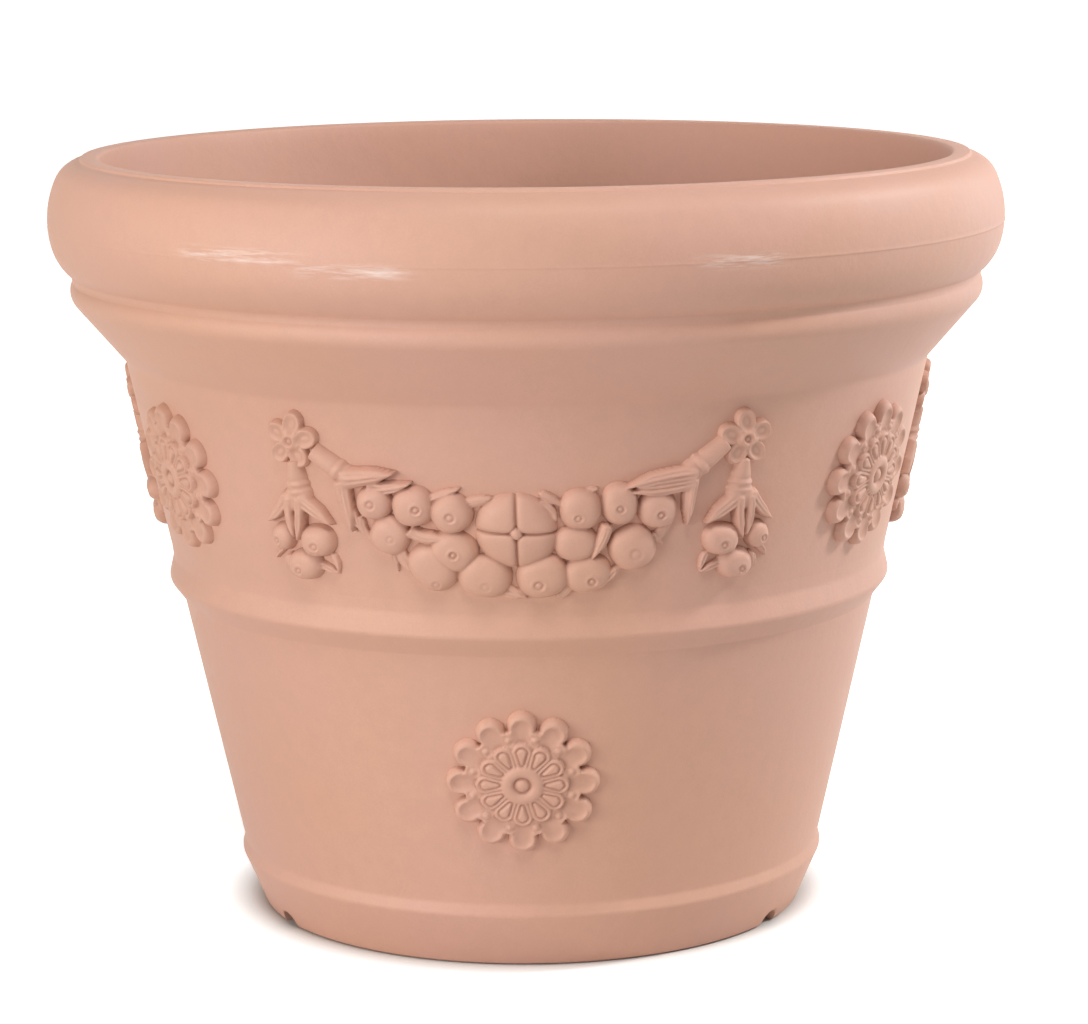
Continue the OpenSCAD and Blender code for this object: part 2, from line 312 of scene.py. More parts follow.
def cut_notches(r, z, turn):
    """Lifts the foot ring's lower side over each notch, outside along the foot band's lean."""
    band_lean = (wall_r(FOOT_BAND_Z) + FOOT_BAND_OUT - FOOT_R) / FOOT_BAND_Z
    for middle in NOTCH_TURNS:
        away = (np.degrees(turn) - middle + 180) % 360 - 180
        side = r * np.sin(np.radians(away))
        near = (np.abs(side) < NOTCH_R) & (np.abs(away) < 20) & (r > 100)
        lift = np.where(near, np.sqrt(np.clip(NOTCH_R**2 - side**2, 0, None)), 0)
        low = near & (z < lift)
        # The ring's outer side starts at a radius of 165 mm
        r = np.where(low & (r > 165), r + band_lean * (lift - z), r)
        z = np.where(low, lift, z)
    return r, z


def mesh_object(name, points, faces, material):
    """New smooth-shaded object at the origin, from points in metres."""
    mesh = bpy.data.meshes.new(name)
    mesh.from_pydata(points.tolist(), [], faces)
    mesh.polygons.foreach_set("use_smooth", np.full(len(faces), True))
    mesh.materials.append(material)
    mesh.update()
    piece = bpy.data.objects.new(name, mesh)
    bpy.context.scene.collection.objects.link(piece)
    return piece


def waves(seed, x, y, scale, count=6):
    """Soft irregularity, between about -1 and 1, from seeded waves about scale long, in mm."""
    rng = np.random.default_rng(seed)
    total = np.zeros_like(x)
    for _ in range(count):
        angle, phase = rng.uniform(0, math.tau, 2)
        length = scale * rng.uniform(0.7, 1.6)
        total += np.sin((x * math.cos(angle) + y * math.sin(angle)) * math.tau / length + phase)
    return total / math.sqrt(count)


# Sprigs: relief modelled on a grid that follows the wall

# Heights over the wall's face, in mm: where no clay is, the lowest clay kept, and a sprig's back
UNDER = -3.0
SKIN = -1.2
BACK = -2.2
# Painted crease shade reaches about this far, and creases this much below their surroundings are
# painted as dark as it gets
CREASE_SHADE_REACH = 1.5
CREASE_SHADE_DEPTH = 1.6


def soft_max(a, b, blend):
    """Higher of a and b, with a clay-like fillet where they meet."""
    overlap = np.maximum(blend - np.abs(a - b), 0)
    return np.maximum(a, b) + overlap * overlap / (4 * blend)


def ridge(distance, width):
    """Smooth bump, 1 where the distance is 0, a third at the width and gone at twice that."""
    return np.exp(-((distance / width) ** 2))


def dome(top, share):
    """Round form that is top high where the share is 0, and gone where it is 1 or more."""
    return (top - UNDER) * np.sqrt(np.clip(1 - share, 0, 1)) + UNDER


def petal_folds(relief, count, turn=0.0):
    """Distance from the middle, each point's petal, and its place along and beside that petal."""
    r = np.hypot(relief.u, relief.v)
    angle = np.degrees(np.arctan2(relief.v, relief.u)) - 90 - turn
    petal = np.round(angle / (360 / count))
    fold = np.radians(angle - 360 / count * petal)
    return r, petal, r * np.cos(fold), r * np.sin(fold)


class Relief:
    """Heights over the wall on a grid, along (u) and up (v) it from the sprig's middle, in mm."""

    def __init__(self, left, right, low, high, step):
        self.step = step
        self.u, self.v = np.meshgrid(np.arange(left, right, step), np.arange(low, high, step))
        self.h = np.full(self.u.shape, UNDER)

    def add(self, height, blend=0.6):
        """Lays a form on what is there."""
        self.h = soft_max(self.h, height, blend)

    def softened(self, radius):
        """The relief's height, averaged over about the given radius."""
        reach = int(math.ceil(2.5 * radius / self.step))
        weights = np.exp(-0.5 * (np.arange(-reach, reach + 1) * self.step / radius) ** 2)
        weights /= weights.sum()
        height = self.h
        for axis in (0, 1):
            height = sum(w * np.roll(height, k - reach, axis) for k, w in enumerate(weights))
        return height

    def blur(self, radius):
        """Softens the relief as a worn mould does."""
        self.h = self.softened(radius)

    def fruit(self, u, v, half_u, half_v, top, turn=0.0, full=2.2):
        """Plump fruit, wide half_u by half_v either side of its middle."""
        a = math.radians(turn)
        x = (self.u - u) * math.cos(a) + (self.v - v) * math.sin(a)
        y = (self.v - v) * math.cos(a) - (self.u - u) * math.sin(a)
        q = np.abs(x / half_u) ** full + np.abs(y / half_v) ** full
        self.add(dome(top, q**1.5), 0.3)

    def eye(self, u, v, size=1.0, depth=1.0):
        """Calyx eye: a ring pressed in the fruit with a bead in the middle."""
        d = np.hypot(self.u - u, self.v - v) / size
        self.h += depth * (0.45 * ridge(d - 3.3, 0.9) - ridge(d - 1.9, 0.65) + 0.35 * ridge(d, 0.9))

    def along(self, spine):
        """Share along a curve of three points, distances beside and past it, and its height."""
        a, b, c = (np.array(p, dtype=float) for p in spine)
        best = np.full(self.u.shape, 1e9)
        share = np.zeros(self.u.shape)
        for t in np.linspace(0, 1, 33):
            p = (1 - t) ** 2 * a + 2 * t * (1 - t) * b + t * t * c
            d = (self.u - p[0]) ** 2 + (self.v - p[1]) ** 2
            closer = d < best
            best = np.where(closer, d, best)
            share = np.where(closer, t, share)
        # Two steps towards the foot of the perpendicular, from the nearest of the 33 points
        for _ in range(2):
            pu, pv, du, dv, _height = self.spine_at(a, b, c, share)
            step = ((self.u - pu) * du + (self.v - pv) * dv) / (du * du + dv * dv + 1e-9)
            share = np.clip(share + step, 0, 1)
        pu, pv, du, dv, height = self.spine_at(a, b, c, share)
        size = np.hypot(du, dv) + 1e-9
        side = ((self.v - pv) * du - (self.u - pu) * dv) / size
        past = ((self.u - pu) * du + (self.v - pv) * dv) / size
        return share, side, past, height

    @staticmethod
    def spine_at(a, b, c, t):
        """Place (u, v), direction (u, v) and height of a spine at share t."""
        p = [(1 - t) ** 2 * a[k] + 2 * t * (1 - t) * b[k] + t * t * c[k] for k in range(3)]
        d = [2 * (1 - t) * (b[k] - a[k]) + 2 * t * (c[k] - b[k]) for k in range(2)]
        return p[0], p[1], d[0], d[1], p[2]

    def leaf(self, spine, width, grooves=(0.0,), root=0.35, depth=1.4, taper=0.0):
        """Pointed leaf with grooves at the given shares of its half width."""
        t, side, past, height = self.along(spine)
        swell = root * (1 - t) ** 2 + np.sin(math.pi * t**0.8) ** 0.75
        half = width / 2 * np.minimum(swell, 1.0) * (1 - taper * t) + 0.15
        x = side / half
        body = dome(height, np.abs(x) ** 3.2)
        groove = sum(ridge(x - g, 0.19) for g in grooves) * depth
        groove *= np.clip(t * 6, 0, 1) * np.clip((1 - t) * 3, 0, 1)
        body = np.where(np.abs(x) < 1, body - groove, UNDER)
        self.add(np.where(np.abs(past) > 0.6, UNDER, body), 0.35)

    def strap(self, start, end, r0, r1, rise, rings=(), ring_size=1.0):
        """Round strap or neck that lies on the wall, with rings at shares of its length."""
        a, b = np.array(start, float), np.array(end, float)
        length = np.linalg.norm(b - a)
        way = (b - a) / length
        t = ((self.u - a[0]) * way[0] + (self.v - a[1]) * way[1]) / length
        side = (self.v - a[1]) * way[0] - (self.u - a[0]) * way[1]
        radius = r0 + (r1 - r0) * np.clip(t, 0, 1)
        lift = np.zeros_like(t)
        for ring in rings:
            away = (t - ring) * length
            trough = ridge(away - 2.9, 0.8) + ridge(away + 2.9, 0.8)
            lift += ring_size * (ridge(away, 1.3) * 1.2 - trough * 0.7)
        x = side / (radius + lift * 0.8)
        body = dome(rise + lift, x * x)
        self.add(np.where((t > 0) & (t < 1), body, UNDER), 0.35)

    def mirrored(self):
        """The same relief, left for right."""
        other = copy.copy(self)
        other.u, other.v, other.h = -self.u[:, ::-1], self.v[:, ::-1], self.h[:, ::-1]
        return other

    def on_wall(self, name, base_z, azimuth, middle, material):
        """Closed mesh of the relief, bedded a little way into the wall."""
        # Cells of the grid that hold clay, and one point more on each side
        kept = self.h > SKIN
        grown = kept.copy()
        grown[1:, :] |= kept[:-1, :]
        grown[:-1, :] |= kept[1:, :]
        grown[:, 1:] |= grown[:, :-1] | kept[:, :-1]
        grown[:, :-1] |= kept[:, 1:]
        cells = grown[:-1, :-1] & grown[1:, :-1] & grown[:-1, 1:] & grown[1:, 1:]
        used = np.zeros_like(grown)
        for di in (0, 1):
            for dj in (0, 1):
                used[di : used.shape[0] - 1 + di, dj : used.shape[1] - 1 + dj] |= cells
        count = int(used.sum())
        index = np.full(used.shape, -1)
        index[used] = np.arange(count)
        corners = (index[:-1, :-1], index[:-1, 1:], index[1:, 1:], index[1:, :-1])
        top = np.stack([corner[cells] for corner in corners], 1)
        under = top[:, ::-1] + count
        # An edge that no neighbour shares is on the rim, where a skirt joins face and back
        edges = np.concatenate([top[:, [0, 1]], top[:, [1, 2]], top[:, [2, 3]], top[:, [3, 0]]])
        key = edges[:, 0] * (count + 1) + edges[:, 1]
        back_key = edges[:, 1] * (count + 1) + edges[:, 0]
        rim = edges[~np.isin(key, back_key)]
        skirt = np.stack([rim[:, 1], rim[:, 0], rim[:, 0] + count, rim[:, 1] + count], 1)
        u, v = self.u[used] + middle[0], self.v[used] + middle[1]
        heights = (np.maximum(self.h[used], SKIN - 0.3), np.full(count, BACK))
        points = np.concatenate([wall_points(u, v, h, base_z, azimuth) for h in heights])
        faces = np.concatenate([top, under, skirt]).tolist()
        piece = mesh_object(name, points, faces, material)
        # How deep each point lies in a crease, for the painted shade that the material draws there
        crease = np.clip((self.softened(CREASE_SHADE_REACH) - self.h)[used] / CREASE_SHADE_DEPTH, 0, 1)
        layer = piece.data.attributes.new("crease", "FLOAT", "POINT")
        layer.data.foreach_set("value", np.concatenate([crease, crease]))
        return piece


def wall_points(u, v, h, base_z, azimuth):
    """Points in metres at u along and v up the wall, h out of its face; azimuth 0 is the front."""
    z = base_z + v * math.cos(LEAN)
    angle = math.radians(azimuth) + u / wall_r(z)
    r = wall_r(z) + h * math.cos(LEAN)
    return np.stack([r * np.sin(angle), -r * np.cos(angle), z - h * math.sin(LEAN)], 1) * MM


# Materials

# Most of a noise texture's values lie in this range
NOISE_SPAN = {"From_Min": 0.3, "From_Max": 0.7}
FROM_0_TO_1 = {"To_Min": 0.0, "To_Max": 1.0}
MULTIPLY = {"operation": "MULTIPLY"}
COLOUR_MIX = {"data_type": "RGBA"}

# Scuffs on the roll: the middle's turn from the front and half the length, both in radians, the
# strength, and the height in mm
RIM_SCUFFS = (
    (-0.56, 0.18, 0.7, 439.5),
    (-0.31, 0.15, 0.7, 433.0),
    (0.44, 0.12, 0.8, 436.5),
    (2.6, 0.5, 0.5, 433.5),
)


def add_node(tree, kind, settings=None, **links):
    """Adds a node with its settings, and links or values for its inputs by name or index (i0)."""
    node = tree.nodes.new(kind)
    for key, value in (settings or {}).items():
        setattr(node, key, value)
    for key, value in links.items():
        by_index = key[0] == "i" and key[1:].isdigit()
        socket = node.inputs[int(key[1:]) if by_index else key.replace("_", " ")]
        if isinstance(value, bpy.types.NodeSocket):
            tree.links.new(value, socket)
        else:
            socket.default_value = value
    return node


def pressed_terracotta(name, colours, scuffed):
    """Unglazed terracotta, pressed in a mould and fired: matt, close grained, softly patched."""
    material = bpy.data.materials.new(name)
    material.use_nodes = True
    tree = material.node_tree
    tree.nodes.clear()
    place = add_node(tree, "ShaderNodeTexCoord").outputs["Object"]

    # Kiln patches about 140 mm across, mottling about 12 mm, and grog of 1.2 mm, which is coarser
    # than the real grains so that it shows
    patches, mottle, grain = (
        add_node(
            tree,
            "ShaderNodeTexNoise",
            Vector=place,
            Scale=1 / (size * MM),
            Detail=detail,
            Roughness=roughness,
        ).outputs["Fac"]
        for size, detail, roughness in ((140, 2.0, 0.45), (12, 3.0, 0.6), (1.2, 2.0, 0.6))
    )
    warm = add_node(
        tree, "ShaderNodeMapRange", Value=patches, From_Min=0.38, From_Max=0.62, **FROM_0_TO_1
    )
    warmth = warm.outputs["Result"]
    kiln = add_node(
        tree, "ShaderNodeMix", COLOUR_MIX, i0=warmth, i6=colours.pink, i7=colours.warm
    )
    body = add_node(
        tree, "ShaderNodeMix", COLOUR_MIX, i0=0.25, i6=colours.clay, i7=kiln.outputs[2]
    )
    # Mottling and grain each lighten or darken the clay by 2 percent
    tone, speck = (
        add_node(
            tree, "ShaderNodeMapRange", Value=noise, **NOISE_SPAN, To_Min=0.98, To_Max=1.02
        ).outputs["Result"]
        for noise in (mottle, grain)
    )
    both = add_node(tree, "ShaderNodeMath", MULTIPLY, i0=tone, i1=speck)
    base = add_node(
        tree,
        "ShaderNodeVectorMath",
        {"operation": "SCALE"},
        i0=body.outputs[2],
        Scale=both.outputs["Value"],
    ).outputs["Vector"]
    if scuffed:
        base = rim_scuffs(tree, place, base, colours)
    else:
        # Painted shade: the creases of a sprig are drawn darker, which outlines it
        crease = add_node(tree, "ShaderNodeAttribute", {"attribute_name": "crease"})
        much = add_node(tree, "ShaderNodeMath", MULTIPLY, i0=crease.outputs["Fac"], i1=0.75)
        base = add_node(
            tree, "ShaderNodeMix", COLOUR_MIX, i0=much.outputs["Value"], i6=base, i7=colours.crease
        ).outputs[2]

    # Matt, and a little uneven to the touch: soft dents with the mottling, fine pits with the grain
    rough = add_node(
        tree, "ShaderNodeMapRange", Value=mottle, **NOISE_SPAN, To_Min=0.5, To_Max=0.6
    )
    dents = add_node(tree, "ShaderNodeBump", Strength=0.25, Distance=1.2 * MM, Height=mottle)
    pits = add_node(
        tree,
        "ShaderNodeBump",
        Strength=0.12,
        Distance=0.3 * MM,
        Height=grain,
        Normal=dents.outputs["Normal"],
    )
    shader = add_node(
        tree,
        "ShaderNodeBsdfPrincipled",
        Base_Color=base,
        Roughness=rough.outputs["Result"],
        Specular_IOR_Level=0.4,
        IOR=1.5,
        Metallic=0.0,
        Normal=pits.outputs["Normal"],
    )
    add_node(tree, "ShaderNodeOutputMaterial", Surface=shader.outputs["BSDF"])
    return material


def rim_scuffs(tree, place, base, colours):
    """Pale streaks rubbed along the parting line, at the front left and right and at the back."""
    part = add_node(tree, "ShaderNodeSeparateXYZ", Vector=place)
    ahead = add_node(tree, "ShaderNodeMath", MULTIPLY, i0=part.outputs["Y"], i1=-1.0)
    turn = add_node(
        tree,
        "ShaderNodeMath",
        {"operation": "ARCTAN2"},
        i0=part.outputs["X"],
        i1=ahead.outputs["Value"],
    ).outputs["Value"]
    # Streaks about 30 mm long, round a rim of 300 mm radius, and 3 mm high
    around = add_node(tree, "ShaderNodeMath", MULTIPLY, i0=turn, i1=300 * MM)
    strip = add_node(
        tree, "ShaderNodeCombineXYZ", X=around.outputs["Value"], Y=part.outputs["Z"]
    )
    stretched = add_node(
        tree,
        "ShaderNodeMapping",
        Vector=strip.outputs["Vector"],
        Scale=(1 / (30 * MM), 1 / (3 * MM), 1.0),
    )
    streak = add_node(
        tree,
        "ShaderNodeTexNoise",
        Vector=stretched.outputs["Vector"],
        Scale=1.0,
        Detail=3.0,
        Roughness=0.65,
    )
    found = add_node(
        tree,
        "ShaderNodeMapRange",
        Value=streak.outputs["Fac"],
        From_Min=0.44,
        From_Max=0.68,
        **FROM_0_TO_1,
    )
    total = 0.0
    for middle, half, strength, height in RIM_SCUFFS:
        masks = []
        # Each scuff fades out at its ends, and above and below its height
        for value, centre, far, near, most in (
            (turn, middle, half, half * 0.4, strength),
            (part.outputs["Z"], height * MM, 6 * MM, 1 * MM, 1.0),
        ):
            off = add_node(
                tree, "ShaderNodeMath", {"operation": "SUBTRACT"}, i0=value, i1=centre
            )
            away = add_node(
                tree, "ShaderNodeMath", {"operation": "ABSOLUTE"}, i0=off.outputs["Value"]
            )
            mask = add_node(
                tree,
                "ShaderNodeMapRange",
                {"interpolation_type": "SMOOTHSTEP"},
                Value=away.outputs["Value"],
                From_Min=far,
                From_Max=near,
                To_Min=0.0,
                To_Max=most,
            )
            masks.append(mask.outputs["Result"])
        both = add_node(tree, "ShaderNodeMath", MULTIPLY, i0=masks[0], i1=masks[1])
        total = add_node(
            tree, "ShaderNodeMath", {"operation": "ADD"}, i0=total, i1=both.outputs["Value"]
        ).outputs["Value"]
    # Only the roll is rubbed, not the inner wall behind it
    level = add_node(tree, "ShaderNodeCombineXYZ", X=part.outputs["X"], Y=part.outputs["Y"])
    radius = add_node(
        tree, "ShaderNodeVectorMath", {"operation": "LENGTH"}, i0=level.outputs["Vector"]
    )
    on_roll = add_node(
        tree,
        "ShaderNodeMapRange",
        Value=radius.outputs["Value"],
        From_Min=285 * MM,
        From_Max=292 * MM,
        **FROM_0_TO_1,
    )
    rubbed = add_node(tree, "ShaderNodeMath", MULTIPLY, i0=total, i1=on_roll.outputs["Result"])
    much = add_node(
        tree, "ShaderNodeMath", MULTIPLY, i0=rubbed.outputs["Value"], i1=found.outputs["Result"]
    )
    mixed = add_node(
        tree, "ShaderNodeMix", COLOUR_MIX, i0=much.outputs["Value"], i6=base, i7=colours.scuff
    )
    return mixed.outputs[2]


def clay_for(kind):
    """Material of the body or of the sprigs, made once."""
    name = {"body": "terracotta_pressed_body", "sprig": "terracotta_pressed_sprig"}[kind]
    found = bpy.data.materials.get(name)
    return found or pressed_terracotta(name, bpy.context.scene.pot_colours, kind == "body")


def seat(piece, node):
    """Rides the piece on the pot, in place of its CAD node."""
    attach(piece, "root")
    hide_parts(node)


def lay_sprig(relief, kind, place, base_z, azimuth, middle=(0, 0)):
    """Lays a sprig on the wall, its middle along and up from base_z at the azimuth."""
    piece = relief.on_wall(f"{kind}_sprig_{place}", base_z, azimuth, middle, clay_for("sprig"))
    seat(piece, f"{kind}_{place}")


# Sprig shapes, each in mm from its own middle


def rosette_relief(sizes):
    """Dished outer petals, pearls between them, an inner flower of outlined petals and a button."""
    relief = Relief(-50, 50, -50, 50, in_mm(sizes.grid_step))
    proud = in_mm(sizes.rosette_proud)
    petals, half_turn = 12, math.radians(15)
    r, petal, x, y = petal_folds(relief, petals)
    y = np.abs(y)
    # The petals are not quite alike in height, as in a mould cut by hand
    vary = np.sin((petal % petals) * 2.4 + 0.6) * 0.25 + np.sin((petal % petals) * 5.1) * 0.15

    outer_mid, outer_r = 37.1, 9.35
    relief.add(dome(proud + vary, (np.hypot(x - outer_mid, y) / outer_r) ** 4), 0.4)
    relief.add(np.where(r < outer_mid - 2.5, proud - 0.8, UNDER), 0.5)
    # Each hollow runs in towards the middle as a trough, so its rim is a U
    reach = np.where(x < outer_mid - 1.5, y, np.hypot(x - outer_mid + 1.5, y))
    room = np.clip(x * math.tan(half_turn) - 1.8, 1, 6.7)
    hollow = np.clip(1 - (reach / room) ** 2.6, 0, 1) ** 0.75
    dished = np.minimum(relief.h, proud + vary - (2.6 + vary) * hollow)
    relief.h = np.where(x > 20, dished, relief.h)

    # Pearls, pressed in between the outer petals
    pearls_out, pearl_r = 29.6, 2.3
    pearl = np.hypot(x - pearls_out * math.cos(half_turn), y - pearls_out * math.sin(half_turn))
    relief.h -= 0.7 * ridge(pearl - 2.7, 0.7)
    relief.add(dome(proud + 0.2, (pearl / pearl_r) ** 2), 0.3)

    # Inner flower: wedge-shaped petals with round ends, each with an outlined bud
    inner_mid = 21.5
    inner_r = inner_mid * math.sin(half_turn) + 0.05
    out = np.where(x > inner_mid, np.hypot(x - inner_mid, y) - inner_r, y - x * inner_r / inner_mid)
    relief.add(np.where(out < 0.2, proud + 0.9 - 0.5 * np.clip(out + 1.2, 0, 1.4) ** 2, UNDER), 0.4)
    bud_in, bud_out = 14.2, 21.0
    bud_x = np.clip(x, bud_in, bud_out)
    bud = np.hypot(x - bud_x, y) - (1.0 + 0.29 * (bud_x - bud_in))
    groove = 1.7 * ridge(bud - 0.35, 0.6) - 0.5 * np.clip(-bud / 1.2, 0, 1)
    crease = 0.7 * ridge(out, 0.5) * (x > 12)
    relief.h -= np.where((out < 1.0) & (x > 11), groove + crease, 0)

    # Ring round a sunk middle, with a button in it
    ring_r, ring_half, well_r, button_r = 8.7, 3.6, 5.6, 4.5
    ring = np.clip(1 - (np.abs(r - ring_r) / ring_half) ** 2.2, 0, 1)
    relief.add(np.where(r < ring_r + ring_half, proud + 2.6 * np.sqrt(ring) - 0.6, UNDER), 0.5)
    well = np.minimum(relief.h, proud - 1.4 + 2.6 * (r / well_r) ** 8)
    relief.h = np.where(r < well_r, well, relief.h)
    button = np.clip(1 - (r / button_r) ** 2, 0, 1)
    relief.add(np.where(r < button_r, proud - 1.4 + 3.4 * np.sqrt(button), UNDER), 0.3)
    relief.blur(0.36)
    return relief


def flower_relief(sizes, turn):
    """Five dished petals round a ringed button."""
    relief = Relief(-22, 22, -22, 22, in_mm(sizes.grid_step))
    r, _petal, x, y = petal_folds(relief, 5, turn)
    top, petal_mid, petal_r, dish_r = 5.4, 10.8, 7.2, 5.1
    relief.add(dome(top, (np.hypot((x - petal_mid) / 1.1, y) / petal_r) ** 5), 0.3)
    relief.add(np.where(r < 7.0, top - 0.6, UNDER), 0.8)
    dish = (np.hypot((x - petal_mid) / 1.2, y) / dish_r) ** 2.6
    relief.h -= 2.9 * np.clip(1 - dish, 0, 1) ** 0.75
    bud = (np.hypot((x - 10.4) / 1.5, y) / 2.0) ** 2
    relief.h += 0.7 * np.clip(1 - bud, 0, 1)
    relief.h += 1.1 * ridge(r - 3.6, 0.9) - ridge(r - 1.9, 0.8) + 0.5 * ridge(r, 1.0)
    relief.blur(0.36)
    return relief


def pendant_relief(sizes):
    """Neck, collar, leaves and three fruits under the right flower, from the flower's middle."""
    relief = Relief(-38, 26, -98, -6, in_mm(sizes.grid_step))
    fruit, leaf = in_mm(sizes.fruit_proud), in_mm(sizes.leaf_proud)
    high = leaf + 1.8
    relief.leaf([(-24.5, -70, 2.5), (-27.5, -74, 3.8), (-29, -81, 2.5)], 5.0)
    relief.leaf([(-15, -76, 3), (-22, -79.5, 4.2), (-29.5, -82, 2.5)], 5.5)
    relief.leaf([(9, -69, 2.5), (15, -70, 4.0), (16.2, -77, 3)], 5.5)
    relief.fruit(9.2, -61.5, 8.8, 9.4, fruit - 0.9, full=2.15)
    relief.fruit(-6, -78, 12.8, 10.4, fruit - 0.4, turn=-6, full=2.2)
    relief.fruit(-15.6, -62, 12.4, 10.6, fruit, turn=-4, full=2.25)
    relief.eye(-16, -64)
    relief.eye(-4, -80.5, 0.9)
    relief.eye(11.4, -63, 0.9)
    relief.leaf([(5, -72, 5), (7.5, -78, fruit - 0.2), (3.5, -86, 3)], 4.5)
    relief.fruit(-2.6, -37, 10.6, 8.6, leaf + 0.8, full=2.8)
    wide = [(-5, -36, high - 0.6), (-13.5, -41, high + 0.9), (-27, -51.0, high - 1.6)]
    relief.leaf(wide, 10.5, (-0.3, 0.2), root=0.9, taper=0.25)
    wide = [(4, -34, high - 0.6), (8.5, -44, high + 0.7), (20, -53, high - 1.6)]
    relief.leaf(wide, 9.5, (-0.2, 0.3), root=0.9, taper=0.2)
    narrow = [(-4.5, -36, high), (-5.5, -49, high + 1.2), (-2.4, -63, high - 0.8)]
    relief.leaf(narrow, 6.8, (-0.1,), root=0.9, depth=1.1)
    narrow = [(2.6, -36, high), (3.6, -48, high + 1.0), (-0.6, -61, high - 0.6)]
    relief.leaf(narrow, 6.8, (0.1,), root=0.9, depth=1.1)
    relief.strap((-1.0, -12), (-3.0, -34), 4.8, 10.0, 5.8, rings=(0.69, 0.87), ring_size=0.65)
    relief.blur(0.38)
    return relief


def quartered_fruit(relief, proud):
    """Round fruit split in four by a cross, with a small diamond boss in the middle."""
    # Its arms lean a little, as in the photographed one
    x = relief.u + 1.3 + 0.02 * (relief.v + 16)
    y = relief.v + 16.0 + 0.03 * relief.u
    q = np.abs(x / 24.6) ** 2.15 + np.abs(y / 23.8) ** 2.15
    near = np.minimum(np.abs(x), np.abs(y))
    split = 2.2 * ridge(near, 0.7) + ridge(near, 2.4)
    relief.add(np.where(q < 1, dome(proud + 0.6, q**1.5) - split, UNDER))
    cross, boss = np.abs(x) + np.abs(y), 3.6
    relief.h -= ridge(cross - 4.4, 1.0)
    relief.add(np.where(cross < boss, proud + 0.2 + np.clip(1 - cross / boss, 0, 1), UNDER), 0.2)


